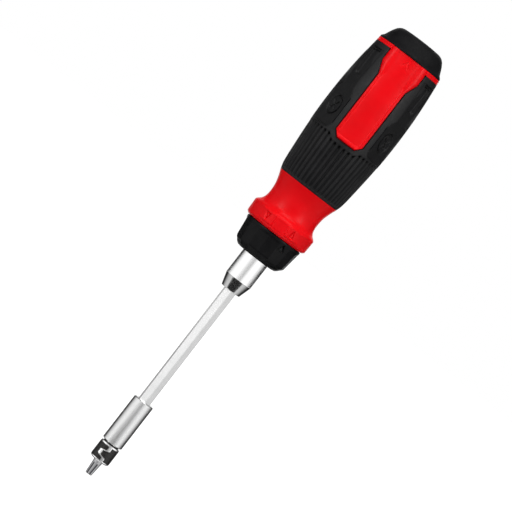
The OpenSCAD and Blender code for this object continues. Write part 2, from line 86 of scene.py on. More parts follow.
# Camera. A long lens, a little to the left of the front panel and level with the grip's ribs. It
# is rolled, so that the upright tool leans to the right as photographed.
LEAN = math.radians(37.74)
eye = Vector((-0.0526, -1.4991, 0.195))
aim = Vector((-0.0003, 0.0, 0.138))
forward = (aim - eye).normalized()
tool_up = (Vector((0, 0, 1)) - forward * forward.z).normalized()
tool_right = forward.cross(tool_up)
cam_right = tool_up * math.sin(LEAN) + tool_right * math.cos(LEAN)
cam_up = tool_up * math.cos(LEAN) - tool_right * math.sin(LEAN)
camera = bpy.data.objects.new("camera", bpy.data.cameras.new("camera"))
camera.data.lens = 211
camera.data.sensor_width = 36
camera.data.clip_start = 0.05
camera.data.clip_end = 50
camera.matrix_world = Matrix.Translation(eye) @ Matrix(
    (cam_right, cam_up, -forward)).transposed().to_4x4()
bpy.context.scene.collection.objects.link(camera)
bpy.context.scene.camera = camera
bpy.context.scene.view_settings.view_transform = "Standard"

# Studio background: white to the camera and in reflections, a soft grey fill for everything else.
world = bpy.data.worlds.new("studio")
bpy.context.scene.world = world
world.use_nodes = True
nodes, links = world.node_tree.nodes, world.node_tree.links
path = nodes.new("ShaderNodeLightPath")
seen = nodes.new("ShaderNodeMath")
seen.operation = "MAXIMUM"
links.new(path.outputs["Is Camera Ray"], seen.inputs[0])
reflected = nodes.new("ShaderNodeMath")
reflected.operation = "MAXIMUM"
links.new(path.outputs["Is Glossy Ray"], reflected.inputs[0])
links.new(path.outputs["Is Transmission Ray"], reflected.inputs[1])
links.new(reflected.outputs[0], seen.inputs[1])
fill = nodes["Background"]
fill.inputs["Color"].default_value = (1, 1, 1, 1)
fill.inputs["Strength"].default_value = 0.22
white = nodes.new("ShaderNodeBackground")
white.inputs["Color"].default_value = (1, 1, 1, 1)
white.inputs["Strength"].default_value = 1.0
mix = nodes.new("ShaderNodeMixShader")
links.new(seen.outputs[0], mix.inputs["Fac"])
links.new(fill.outputs[0], mix.inputs[1])
links.new(white.outputs[0], mix.inputs[2])
links.new(mix.outputs[0], nodes["World Output"].inputs["Surface"])

# Studio floor: matt white, which keeps the tool's soft shadow. It lies far enough under the tip
# for the bit to be pulled out above it. To the camera it is lifted to the background's white.
floor_z = -0.027
bm = bmesh.new()
bmesh.ops.create_circle(bm, cap_ends=True, segments=96, radius=6.0)
floor_mesh = bpy.data.meshes.new("floor")
bm.to_mesh(floor_mesh)
bm.free()
floor_mesh.transform(Matrix.Translation((0, 0, floor_z)))
floor = bpy.data.objects.new("floor", floor_mesh)
bpy.context.scene.collection.objects.link(floor)
floor_white = bpy.data.materials.new("floor_white")
floor_white.use_nodes = True
nodes, links = floor_white.node_tree.nodes, floor_white.node_tree.links
nodes.remove(nodes["Principled BSDF"])
path = nodes.new("ShaderNodeLightPath")
paint = nodes.new("ShaderNodeBsdfDiffuse")
paint.inputs["Color"].default_value = (0.45, 0.45, 0.45, 1)
lit = nodes.new("ShaderNodeBsdfDiffuse")
lit.inputs["Color"].default_value = (0.42, 0.42, 0.42, 1)
glow = nodes.new("ShaderNodeEmission")
place = nodes.new("ShaderNodeTexCoord")
reach = nodes.new("ShaderNodeVectorMath")
reach.operation = "LENGTH"
links.new(place.outputs["Object"], reach.inputs[0])
rise = nodes.new("ShaderNodeMapRange")
rise.inputs["From Min"].default_value = 0.0
rise.inputs["From Max"].default_value = 0.7
rise.inputs["To Min"].default_value = 0.7
rise.inputs["To Max"].default_value = 1.0
links.new(reach.outputs["Value"], rise.inputs["Value"])
links.new(rise.outputs["Result"], glow.inputs["Strength"])
both = nodes.new("ShaderNodeAddShader")
links.new(lit.outputs[0], both.inputs[0])
links.new(glow.outputs[0], both.inputs[1])
seen = nodes.new("ShaderNodeMath")
seen.operation = "MAXIMUM"
links.new(path.outputs["Is Camera Ray"], seen.inputs[0])
links.new(path.outputs["Is Glossy Ray"], seen.inputs[1])
mix = nodes.new("ShaderNodeMixShader")
links.new(seen.outputs[0], mix.inputs["Fac"])
links.new(paint.outputs[0], mix.inputs[1])
links.new(both.outputs[0], mix.inputs[2])
links.new(mix.outputs[0], nodes["Material Output"].inputs["Surface"])
floor_mesh.materials.append(floor_white)
floor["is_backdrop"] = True


# Softboxes: one high on each side of the camera, which also make the two soft lights on the neck,
# and weak ones above and behind.
def softbox(name, azimuth, distance, height, width, tall, watts):
    lamp = bpy.data.lights.new(name, "AREA")
    lamp.shape = "RECTANGLE"
    lamp.size = width
    lamp.size_y = tall
    lamp.energy = watts
    box = bpy.data.objects.new(name, lamp)
    a = math.radians(azimuth)
    box.location = (distance * math.sin(a), -distance * math.cos(a), height)
    towards = Vector((0, 0, 0.15)) - Vector(box.location)
    box.rotation_mode = "QUATERNION"
    box.rotation_quaternion = towards.to_track_quat("-Z", "Y")
    box.visible_camera = False
    bpy.context.scene.collection.objects.link(box)
    return box


softbox("softbox_left", -48, 1.5, 0.8, 0.5, 1.15, 11.2)
softbox("softbox_right", 48, 1.5, 0.8, 0.5, 1.15, 11.2)
softbox("softbox_top", 0, 0.5, 1.5, 0.9, 0.9, 8)
softbox("softbox_back", 172, 1.5, 1.0, 0.8, 0.8, 7).visible_glossy = False


# Reflector: a drum with a lid and a disc round the tool, and a dark card low in front. Only
# reflections see them. Their grey changes with the direction: it draws the bright bands, the
# dark edges and the grey middle line of the steel.
def reflector(name, bm, shades):
    mesh = bpy.data.meshes.new(name)
    bm.to_mesh(mesh)
    bm.free()
    board = bpy.data.objects.new(name, mesh)
    bpy.context.scene.collection.objects.link(board)
    paper = bpy.data.materials.new(name)
    paper.use_nodes = True
    tree = paper.node_tree
    tree.nodes.remove(tree.nodes["Principled BSDF"])
    place = tree.nodes.new("ShaderNodeTexCoord")
    turned = tree.nodes.new("ShaderNodeMapping")
    turned.inputs["Rotation"].default_value = (0, 0, math.radians(90))
    tree.links.new(place.outputs["Object"], turned.inputs["Vector"])
    split = tree.nodes.new("ShaderNodeSeparateXYZ")
    tree.links.new(turned.outputs["Vector"], split.inputs["Vector"])
    bearing = tree.nodes.new("ShaderNodeMath")
    bearing.operation = "ARCTAN2"
    tree.links.new(split.outputs["Y"], bearing.inputs[0])
    tree.links.new(split.outputs["X"], bearing.inputs[1])
    spread = tree.nodes.new("ShaderNodeMapRange")
    spread.inputs["From Min"].default_value = -math.pi
    spread.inputs["From Max"].default_value = math.pi
    tree.links.new(bearing.outputs["Value"], spread.inputs["Value"])
    ramp = tree.nodes.new("ShaderNodeValToRGB")
    stops = ramp.color_ramp.elements
    for k, (at, shade) in enumerate(shades):
        stop = stops[k] if k < 2 else stops.new(1.0)
        stop.position = (at + 180) / 360
        stop.color = (shade, shade, shade, 1)
    tree.links.new(spread.outputs["Result"], ramp.inputs["Fac"])
    face = tree.nodes.new("ShaderNodeEmission")
    tree.links.new(ramp.outputs["Color"], face.inputs["Color"])
    tree.links.new(face.outputs[0], tree.nodes["Material Output"].inputs["Surface"])
    mesh.materials.append(paper)
    board.visible_camera = False
    board.visible_diffuse = False
    board.visible_shadow = False
    board.visible_transmission = False
    board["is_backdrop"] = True


round_shades = [(-180, 0.9), (-159, 0.9), (-152, 0.02), (-120, 0.04), (-107, 0.5), (-86, 1.0),
                (-62, 1.15), (-40, 1.15), (-26, 1.0), (-12, 0.74), (0, 0.58), (9, 0.52), (20, 0.9),
                (34, 1.15), (66, 1.1), (90, 0.7), (104, 0.3), (116, 0.04), (152, 0.02), (159, 0.9),
                (180, 0.9)]
drum_r, drum_top = 1.9, 2.1
bm = bmesh.new()
bmesh.ops.create_cone(bm, cap_ends=False, segments=96, radius1=drum_r, radius2=drum_r,
                      depth=drum_top)
bmesh.ops.translate(bm, verts=bm.verts, vec=(0, 0, drum_top / 2))
reflector("reflector_drum", bm, round_shades)
bm = bmesh.new()
bmesh.ops.create_circle(bm, cap_ends=True, segments=96, radius=drum_r)
bmesh.ops.translate(bm, verts=bm.verts, vec=(0, 0, drum_top))
reflector("reflector_lid", bm, [(-180, 0.4), (180, 0.4)])
bm = bmesh.new()
bmesh.ops.create_circle(bm, cap_ends=True, segments=96, radius=drum_r)
bmesh.ops.translate(bm, verts=bm.verts, vec=(0, 0, floor_z + 0.002))
reflector("reflector_disc", bm, round_shades)
bm = bmesh.new()
bmesh.ops.create_grid(bm, x_segments=1, y_segments=1, size=0.5)
bmesh.ops.scale(bm, vec=(0.37, 0.17, 1), verts=bm.verts)
bmesh.ops.translate(bm, verts=bm.verts, vec=(-0.008, -0.215, floor_z + 0.004))
reflector("reflector_low", bm, [(-180, 0.02), (180, 0.02)])


# Finishes are procedural. A finish starts as one shader, and noise on the piece's own
# coordinates then varies its colour, its roughness and its fine relief.
def new_finish(name, colour, metallic, roughness, **sockets):
    finish = bpy.data.materials.new(name)
    finish.use_nodes = True
    shader = finish.node_tree.nodes["Principled BSDF"]
    shader.inputs["Base Color"].default_value = (*colour, 1)
    shader.inputs["Metallic"].default_value = metallic
    shader.inputs["Roughness"].default_value = roughness
    for socket, value in sockets.items():
        shader.inputs[socket.replace("_", " ")].default_value = value
    return finish


def pattern(finish, scale, detail=3.0, stretch=(1, 1, 1)):
    tree = finish.node_tree
    place = tree.nodes.new("ShaderNodeTexCoord")
    mapping = tree.nodes.new("ShaderNodeMapping")
    mapping.inputs["Scale"].default_value = stretch
    noise = tree.nodes.new("ShaderNodeTexNoise")
    noise.inputs["Scale"].default_value = scale
    noise.inputs["Detail"].default_value = detail
    tree.links.new(place.outputs["Object"], mapping.inputs["Vector"])
    tree.links.new(mapping.outputs["Vector"], noise.inputs["Vector"])
    return noise.outputs["Fac"]


def vary_roughness(finish, noise, low, high):
    tree = finish.node_tree
    spread = tree.nodes.new("ShaderNodeMapRange")
    spread.inputs["From Min"].default_value = 0.3
    spread.inputs["From Max"].default_value = 0.7
    spread.inputs["To Min"].default_value = low
    spread.inputs["To Max"].default_value = high
    tree.links.new(noise, spread.inputs["Value"])
    tree.links.new(spread.outputs["Result"], tree.nodes["Principled BSDF"].inputs["Roughness"])


def vary_colour(finish, noise, dark, light, start=0.35, end=0.65):
    tree = finish.node_tree
    ramp = tree.nodes.new("ShaderNodeValToRGB")
    ramp.color_ramp.elements[0].position = start
    ramp.color_ramp.elements[0].color = (*dark, 1)
    ramp.color_ramp.elements[1].position = end
    ramp.color_ramp.elements[1].color = (*light, 1)
    tree.links.new(noise, ramp.inputs["Fac"])
    tree.links.new(ramp.outputs["Color"], tree.nodes["Principled BSDF"].inputs["Base Color"])


def relief(finish, noise, depth):
    tree = finish.node_tree
    bump = tree.nodes.new("ShaderNodeBump")
    bump.inputs["Distance"].default_value = depth
    bump.inputs["Strength"].default_value = 1.0
    under = tree.nodes["Principled BSDF"].inputs["Normal"]
    if under.is_linked:
        tree.links.new(under.links[0].from_socket, bump.inputs["Normal"])
    tree.links.new(noise, bump.inputs["Height"])
    tree.links.new(bump.outputs["Normal"], under)


# The share of the way up from low to high, in mm above the tip. It sets a line across a finish.
def height(finish, low, high):
    tree = finish.node_tree
    place = tree.nodes.new("ShaderNodeTexCoord")
    split = tree.nodes.new("ShaderNodeSeparateXYZ")
    spread = tree.nodes.new("ShaderNodeMapRange")
    spread.inputs["From Min"].default_value = low * MM
    spread.inputs["From Max"].default_value = high * MM
    tree.links.new(place.outputs["Object"], split.inputs["Vector"])
    tree.links.new(split.outputs["Z"], spread.inputs["Value"])
    return spread.outputs["Result"]


def finish_node(node, finish):
    mesh = frame["nodes"][node].data
    mesh.materials.clear()
    mesh.materials.append(finish)


# Bit holder: a turned and nickel-plated steel sleeve with chamfered ends, pressed on the bar.
# The lathe's fine rings run round it.
sleeve_nickel = new_finish("sleeve_nickel", (0.7, 0.7, 0.7), 1.0, 0.22)
vary_roughness(sleeve_nickel, pattern(sleeve_nickel, 60, 3, (1, 1, 30)), 0.2, 0.26)
# Painted shade: below 19.52 mm above the tip the holder's nose is painted near-black, as the shade
# in the gap between the sleeve and the mouth collar.
vary_colour(sleeve_nickel, height(sleeve_nickel, 19.52, 19.56), (0.05, 0.05, 0.05),
            (0.7, 0.7, 0.7), 0.0, 1.0)
relief(sleeve_nickel, pattern(sleeve_nickel, 60, 2, (1, 1, 60)), 0.000001)
finish_node("bit_holder", sleeve_nickel)

# Mouth collar: a bright turned steel ring on the holder's nose, and round its waist a gloss
# black band whose two ends meet in a tongue and a notch.
collar_bright = new_finish("collar_bright", (0.92, 0.92, 0.92), 1.0, 0.18)
vary_roughness(collar_bright, pattern(collar_bright, 500), 0.14, 0.24)
relief(collar_bright, pattern(collar_bright, 80, 2, (1, 1, 40)), 0.000001)
finish_node("mouth_collar", collar_bright)
band_black = new_finish("band_black", (0.01, 0.009, 0.009), 0.0, 0.3, Specular_IOR_Level=0.35)
vary_colour(band_black, pattern(band_black, 900), (0.006, 0.006, 0.006), (0.016, 0.014, 0.013))
vary_roughness(band_black, pattern(band_black, 1400), 0.22, 0.42)
finish_node("collar_band", band_black)


# Hexagon shaft: cold-drawn bar with softly rounded corners, satin nickel. The drawing die has
# left faint lines along it. Its round tail runs in the rear bushing and carries a clip.
def piece(name, bm, finish, body, stands_for, crease=30):
    for vertex in bm.verts:
        vertex.co *= MM
    mesh = bpy.data.meshes.new(name)
    bm.to_mesh(mesh)
    bm.free()
    mesh.shade_smooth()
    mesh.set_sharp_from_angle(angle=math.radians(crease))
    mesh.materials.append(finish)
    made = bpy.data.objects.new(name, mesh)
    bpy.context.scene.collection.objects.link(made)
    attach(made, body)
    if stands_for:
        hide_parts(*stands_for)
    return made


def lathe(profile, steps):
    bm = bmesh.new()
    chain = [bm.verts.new((r, 0, z)) for r, z in profile]
    edges = [bm.edges.new(pair) for pair in zip(chain, chain[1:] + chain[:1])]
    bmesh.ops.spin(bm, geom=chain + edges, cent=(0, 0, 0), axis=(0, 0, 1),
                   angle=2 * math.pi, steps=steps, use_merge=True)
    bmesh.ops.remove_doubles(bm, verts=bm.verts, dist=1e-5)
    bmesh.ops.recalc_face_normals(bm, faces=bm.faces)
    return bm


def steps_between(low, high, count):
    return [low + (high - low) * k / count for k in range(count)]


bar_flats = 6.35
bar_turn = math.radians(-19)
bar_low, bar_high = (corner.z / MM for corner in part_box("hex_shaft"))
tail_z = bar_high - 6.2
tail_r = 2.9
bm = bmesh.new()
bmesh.ops.create_cone(bm, cap_ends=True, segments=6, radius1=bar_flats / math.sqrt(3),
                      radius2=bar_flats / math.sqrt(3), depth=tail_z - bar_low)
corners = [e for e in bm.edges if abs(e.verts[0].co.z - e.verts[1].co.z) > 1]
bmesh.ops.bevel(bm, geom=corners, offset=0.16, segments=3, profile=0.5, affect="EDGES",
                material=-1)
half_facet = math.radians(30)
bmesh.ops.rotate(bm, cent=(0, 0, 0), verts=bm.verts,
                 matrix=Matrix.Rotation(bar_turn - half_facet, 3, "Z"))
bmesh.ops.translate(bm, verts=bm.verts, vec=(0, 0, (tail_z + bar_low) / 2))
groove_r, groove_z, groove_top = 2.45, bar_high - 2.2, bar_high - 2.2 + 0.75
tail = lathe([(0, tail_z), (tail_r, tail_z), (tail_r, groove_z), (groove_r, groove_z),
              (groove_r, groove_top), (tail_r, groove_top), (tail_r, bar_high - 0.2),
              (tail_r - 0.2, bar_high), (0, bar_high)], 48)
tail_mesh = bpy.data.meshes.new("tail")
tail.to_mesh(tail_mesh)
tail.free()
bm.from_mesh(tail_mesh)
bpy.data.meshes.remove(tail_mesh)
bar_nickel = new_finish("bar_nickel", (0.75, 0.75, 0.75), 1.0, 0.22)
vary_roughness(bar_nickel, pattern(bar_nickel, 900, 3, (1, 1, 0.02)), 0.18, 0.25)
vary_colour(bar_nickel, pattern(bar_nickel, 240), (0.73, 0.73, 0.73), (0.77, 0.77, 0.77))
relief(bar_nickel, pattern(bar_nickel, 2200, 2, (1, 1, 0.02)), 0.0000005)
piece("shaft_bar", bm, bar_nickel, "shank", ["hex_shaft"], 8)

# Insert bit: double-ended, hardened tool steel, grey, with its star blade's flutes painted
# near-black as painted shade. It has a six-lobed star blade below, a hexagon with chamfered ends,
# and a cross blade above. It is pressed into the holder by hand and held by a clip and a magnet;
# the spare ones stand in the rack.
# off_axis is 0 in the flutes of a blade that widens by the slope, and 1 on its lands and above: it
# is the mask of the painted shade.
def off_axis(finish, slope, up_to, low, high):
    tree = finish.node_tree
    place = tree.nodes.new("ShaderNodeTexCoord")
    flat = tree.nodes.new("ShaderNodeVectorMath")
    flat.operation = "MULTIPLY"
    flat.inputs[1].default_value = (1, 1, 0)
    reach = tree.nodes.new("ShaderNodeVectorMath")
    reach.operation = "LENGTH"
    split = tree.nodes.new("ShaderNodeSeparateXYZ")
    above = tree.nodes.new("ShaderNodeMath")
    above.operation = "GREATER_THAN"
    above.inputs[1].default_value = up_to * MM
    taper = tree.nodes.new("ShaderNodeMath")
    taper.operation = "MULTIPLY_ADD"
    taper.inputs[1].default_value = -slope
    spread = tree.nodes.new("ShaderNodeMapRange")
    spread.inputs["From Min"].default_value = low * MM
    spread.inputs["From Max"].default_value = high * MM
    clear = tree.nodes.new("ShaderNodeMath")
    clear.operation = "MAXIMUM"
    tree.links.new(place.outputs["Object"], flat.inputs[0])
    tree.links.new(flat.outputs["Vector"], reach.inputs[0])
    tree.links.new(place.outputs["Object"], split.inputs["Vector"])
    tree.links.new(split.outputs["Z"], above.inputs[0])
    tree.links.new(split.outputs["Z"], taper.inputs[0])
    tree.links.new(reach.outputs["Value"], taper.inputs[2])
    tree.links.new(taper.outputs["Value"], spread.inputs["Value"])
    tree.links.new(spread.outputs["Result"], clear.inputs[0])
    tree.links.new(above.outputs["Value"], clear.inputs[1])
    return clear.outputs["Value"]


bit_turn = math.radians(-90 - 7.5)
blade_end, hex_end, bit_top = 8.6, 24.4, 33.0
blade_r, blade_slope = 1.84, 0.081
flute_half, flute_depth, flute_top = 0.62, 0.5, 7.4
bit_rows = ([0, 0.08, 0.2] + steps_between(0.5, 5.6, 8) + steps_between(5.6, 7.6, 10)
            + [7.6, 8.2, 8.59, 8.6, 8.8, 9.0, 9.15, 9.3, 23.7, 23.85, 24.0, 24.2, 24.4, 24.41]
            + steps_between(24.6, 29.4, 8) + steps_between(29.4, 32.9, 14) + [32.9, 33.0])
bm = lathe([(0, 0)] + [(2.0, z) for z in bit_rows] + [(0, bit_top)], 240)
for vertex in bm.verts:
    x, y, z = vertex.co
    if math.hypot(x, y) < 0.01:
        continue
    angle = math.atan2(y, x)
    if z <= 8.595:
        r = blade_r + blade_slope * z - 0.12 * (1 - min(z / 0.12, 1))
        across = ((angle - bit_turn) % math.radians(60) - math.radians(30)) * r
        in_flute = min(max((flute_half - abs(across)) / 0.3, 0), 1)
        r -= flute_depth * in_flute * min(max((flute_top - z) / 1.2, 0), 1)
    elif z <= 24.405:
        turn = (angle - bar_turn) % math.radians(60) - math.radians(30)
        r = min(bar_flats / 2 / math.cos(turn), 3.56, 3.0 + z - blade_end, 3.0 + hex_end - z)
    else:
        turn = (angle - bar_turn) % math.radians(90) - math.radians(45)
        up = bit_top - z
        groove = max((0.6 + 0.445 * up) / math.cos(turn), 0.9 / max(abs(math.sin(turn)), 0.01))
        r = min(2.9, 0.9 + up / 1.8, max(groove, 0.9))
    vertex.co.x, vertex.co.y = r * math.cos(angle), r * math.sin(angle)
star_steel = new_finish("star_steel", (0.45, 0.45, 0.46), 1.0, 0.36)
# Painted shade: the flutes are painted near-black, and the lands keep the steel's grey.
painted_flute_shade = off_axis(star_steel, blade_slope, blade_end, 1.44, 1.69)
vary_colour(star_steel, painted_flute_shade, (0.07, 0.07, 0.075), (0.45, 0.45, 0.46), 0.0, 1.0)
vary_roughness(star_steel, pattern(star_steel, 1600), 0.3, 0.44)
piece("star_bit", bm, star_steel, "bit", ["insert_bit"], 20)
bit_steel = new_finish("bit_steel", (0.36, 0.36, 0.37), 1.0, 0.36)
vary_colour(bit_steel, pattern(bit_steel, 900), (0.3, 0.3, 0.31), (0.42, 0.42, 0.43))
vary_roughness(bit_steel, pattern(bit_steel, 1600), 0.3, 0.44)
for bit in ("spare_bit_1", "spare_bit_2", "spare_bit_3", "spare_bit_4", "spare_bit_5"):
    finish_node(bit, bit_steel)

# Shaft's collar: turned steel, bright nickel, pressed on the bar. A cone, the cylinder that
# shows under the ring, and the journal that runs in the housing's bronze bushing.
cone_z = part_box("shank_collar")[0].z / MM
shank_r = 7.575
cylinder_top = 137.35
bore_r = bar_flats / 2 + 0.02
gear_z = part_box("shank_collar")[1].z / MM
bm = lathe([(bore_r, cone_z), (5.3, cone_z), (5.5, cone_z + 0.07), (5.6, cone_z + 0.25),
            (5.66, cone_z + 0.45), (5.72, cone_z + 0.65), (shank_r - 0.2, cone_z + 6.15),
            (shank_r - 0.14, cone_z + 6.35), (shank_r - 0.07, cone_z + 6.55),
            (shank_r - 0.01, cone_z + 6.72), (shank_r, cone_z + 6.85), (shank_r, cone_z + 7.1),
            (shank_r, cone_z + 7.3), (shank_r, cylinder_top - 0.3), (shank_r, cylinder_top),
            (7.275, cylinder_top), (7.275, 138.3), (5.4, 138.3), (5.4, gear_z),
            (bore_r, gear_z)], 128)
collar_nickel = new_finish("collar_nickel", (0.92, 0.92, 0.92), 1.0, 0.16)
vary_roughness(collar_nickel, pattern(collar_nickel, 50, 3, (1, 1, 40)), 0.13, 0.19)
# Painted shade: the cone and its lower chamfer, below the cylinder, are painted about half as
# bright as the rest of the collar.
vary_colour(collar_nickel, height(collar_nickel, cone_z + 6.75, cone_z + 6.85), (0.5, 0.5, 0.5),
            (0.92, 0.92, 0.92), 0.0, 1.0)
relief(collar_nickel, pattern(collar_nickel, 50, 2, (1, 1, 60)), 0.000001)
piece("turned_collar", bm, collar_nickel, "shank", ["shank_collar"])


# Reversing ring: glass-filled black nylon with fifteen soft finger facets, a flared top lip and
# a triangular pointer outlined by a groove. It runs on the neck of the ratchet housing.
def ease(t):
    t = min(max(t, 0.0), 1.0)
    return t * t * (3 - 2 * t)


def on_lines(points, z):
    if z <= points[0][1]:
        return points[0][0]
    for (a, za), (b, zb) in zip(points, points[1:]):
        if z <= zb:
            return a + (b - a) * (z - za) / (zb - za)
    return points[-1][0]


def depth_inside(x, z, corners):
    return min(((bx - ax) * (z - az) - (bz - az) * (x - ax)) / math.hypot(bx - ax, bz - az)
               for (ax, az), (bx, bz) in zip(corners, corners[1:] + corners[:1]))


def edge_distance(x, z, corners):
    best = 1e9
    for (ax, az), (bx, bz) in zip(corners, corners[1:] + corners[:1]):
        dx, dz = bx - ax, bz - az
        t = min(max(((x - ax) * dx + (z - az) * dz) / (dx * dx + dz * dz), 0), 1)
        best = min(best, math.hypot(x - ax - t * dx, z - az - t * dz))
    return best


ring_outline = [(11.5, 137.5), (12.8, 138.5), (14.5, 140.3), (14.88, 141.1), (15.05, 142.3),
                (15.75, 148), (16.2, 151.4), (16.3, 152), (16.2, 152.45), (15.85, 152.65)]
pointer = [(-1.8, 147.7), (1.8, 147.7), (0, 151.1)]
pointer_angle = math.radians(-90 + 28)
facet, facet_start = math.radians(24), math.radians(-90 + 18.2)
flatness = 0.9
ring_bore, ring_mouth = 8.04, 10.5
profile = [(ring_bore, 152.65), (ring_bore, 138.3), (ring_mouth, 138.3), (ring_mouth, 137.5)]
ring_rows = (steps_between(137.5, 138.5, 3) + steps_between(138.5, 140.7, 5)
             + steps_between(140.7, 142, 5) + steps_between(142, 146.6, 7)
             + steps_between(146.6, 151.4, 21) + [151.4, 151.6, 151.8, 152, 152.2, 152.45])
profile += [(on_lines(ring_outline, z), z) for z in ring_rows] + [(15.85, 152.65)]
bm = lathe(profile, 600)
for vertex in bm.verts:
    x, y, z = vertex.co
    r = math.hypot(x, y)
    if r < ring_mouth:
        continue
    angle = math.atan2(y, x)
    turn = (angle - facet_start) % facet - facet / 2
    flat = r * math.cos(facet / 2) / math.cos(turn)
    share = flatness * ease((151.4 - z) / 1.2) * ease((z - 138.4) / 1.0)
    new_r = r + (flat - r) * share
    across = ((angle - pointer_angle + math.pi) % (2 * math.pi) - math.pi) * r
    if abs(across) < 3 and z > 146.5:
        new_r -= 0.35 * ease(1 - (edge_distance(across, z, pointer) - 0.12) / 0.3)
        new_r -= 0.32 * (z - 147.5) * ease((depth_inside(across, z, pointer) + 0.1) / 0.2)
    vertex.co.x, vertex.co.y = x * new_r / r, y * new_r / r
ring_nylon = new_finish("ring_nylon", (0.003, 0.003, 0.0035), 0.0, 0.34, Specular_IOR_Level=0.1)
vary_roughness(ring_nylon, pattern(ring_nylon, 420), 0.3, 0.42)
vary_colour(ring_nylon, pattern(ring_nylon, 180), (0.002, 0.002, 0.0025), (0.0045, 0.0045, 0.005))
relief(ring_nylon, pattern(ring_nylon, 3200, 2), 0.00002)
piece("selector_ring", bm, ring_nylon, "selector", ["reversing_ring"], 25)


# Handle body: red glass-filled nylon, moulded in one shot. A collar with three raised pads that
# name the ring's positions, a waisted neck, the tube of the bit store and the ring under the cap.
def on_curve(stations, z):
    i = max([k for k in range(len(stations) - 1) if k == 0 or z >= stations[k][0]])

    def slope(k):
        a, b = max(k - 1, 0), min(k + 1, len(stations) - 1)
        return (stations[b][1] - stations[a][1]) / (stations[b][0] - stations[a][0])

    h = stations[i + 1][0] - stations[i][0]
    t = (z - stations[i][0]) / h
    return ((2 * t ** 3 - 3 * t ** 2 + 1) * stations[i][1]
            + (t ** 3 - 2 * t ** 2 + t) * h * slope(i)
            + (3 * t ** 2 - 2 * t ** 3) * stations[i + 1][1]
            + (t ** 3 - t ** 2) * h * slope(i + 1))


grip_curve = [(180, 17.45), (184, 18.6), (195, 19.75), (208, 20.75), (222, 21.2),
              (237, 20.95), (250, 20.05), (264, 18.65)]
neck_curve = [(161.7, 17.6), (163, 16.15), (165, 15.05), (168.5, 14.65), (173, 15.05),
              (177, 16.15), (180.5, 17.5)]
grip_low, grip_high, body_top = 180.5, 260.4, 262.65
rubber_t = 4.0
store_r = 13.6
slot_depth, slot_half = 0.9, 6.4
pads = [(-28, 14.2, 0.42), (-1.2, 12.4, 0.12), (26.5, 15, 0.42)]
pad_low, pad_high = 154.9, 160.9
mark_down = [(1.25, 159.6), (-1.25, 159.6), (0, 155.9)]
mark_up = [(-1.25, 155.9), (1.25, 155.9), (0, 159.6)]
panel_gap_half, panel_gap_depth = 11.15, 1.3
collar = [(16.9, 152.95), (17.7, 153.7), (17.95, 154), (18.2, 160.6), (18.12, 161.0)]
collar_rows = [152.95, 153.1, 153.3, 153.5, 153.7, 154] + steps_between(154.2, 161.0, 28) + [161.0]
profile = [(on_lines(collar, z), z) for z in collar_rows]
profile += [(on_curve(neck_curve, z), z) for z in steps_between(161.7, grip_low, 34)]
profile += [(on_curve(neck_curve, grip_low), grip_low)]
profile += [(on_curve(grip_curve, z) - rubber_t, z)
            for z in steps_between(grip_low, grip_high, 14) + [grip_high]]
band = [(0.2, 0), (0.1, 0.1), (0.08, 0.75), (0.24, 0.95), (0.24, 1.15), (0.08, 1.35),
        (0.08, 2.1), (0.2, 2.25)]
profile += [(on_curve(grip_curve, grip_high + up) - inward, grip_high + up)
            for inward, up in band]
slot_rows = [258.4, 258.2, 230, 198.2]
profile += [(store_r, body_top)] + [(store_r, z) for z in slot_rows]
profile += [(store_r, 198), (9, 198), (9, 165.9), (12.6, 165.9), (12.6, 152.8),
            (12.9, 152.72), (15.3, 152.72), (15.5, 152.95)]
bm = lathe(profile, 540)
for vertex in bm.verts:
    x, y, z = vertex.co
    r = math.hypot(x, y)
    angle = math.degrees(math.atan2(y, x)) + 90
    angle = (angle + 180) % 360 - 180
    new_r = r
    if r > 16 and pad_low - 0.4 < z < pad_high + 0.4:
        rise = max(lift * ease((half - abs(angle - at)) * math.pi / 180 * r / 0.3)
                   for at, half, lift in pads)
        rise *= 1.2 - 0.08 * (z - pad_low)
        new_r += rise * ease((z - pad_low) / 0.3) * ease((pad_high - z) / 0.3)
        for at, mark in ((-28.2, mark_down), (22.5, mark_up)):
            across = math.radians(angle - at) * r
            if abs(across) < 2:
                new_r -= 0.25 * ease((depth_inside(across, z, mark) + 0.1) / 0.3)
                new_r -= 0.5 * ease(1 - (edge_distance(across, z, mark) - 0.14) / 0.3)
    if abs(r - store_r) < 0.01 and 198.1 < z < 258.3 and abs(abs(angle) - 90) < slot_half:
        new_r = store_r + slot_depth
    lobe = (angle + 60) % 120 - 60
    if z > grip_high - 0.01 and r > 17 and abs(math.radians(lobe) * r) < panel_gap_half:
        new_r -= panel_gap_depth
    if new_r != r:
        vertex.co.x, vertex.co.y = x * new_r / r, y * new_r / r
body_red = new_finish("body_red", (0.84, 0.0004, 0.004), 0.0, 0.33, Specular_IOR_Level=0.1)
vary_colour(body_red, pattern(body_red, 90), (0.81, 0.0003, 0.0035), (0.87, 0.0005, 0.0045))
vary_roughness(body_red, pattern(body_red, 300), 0.28, 0.38)
relief(body_red, pattern(body_red, 2600, 2), 0.000012)
piece("handle_body", bm, body_red, "handle", ["handle_core"], 28)

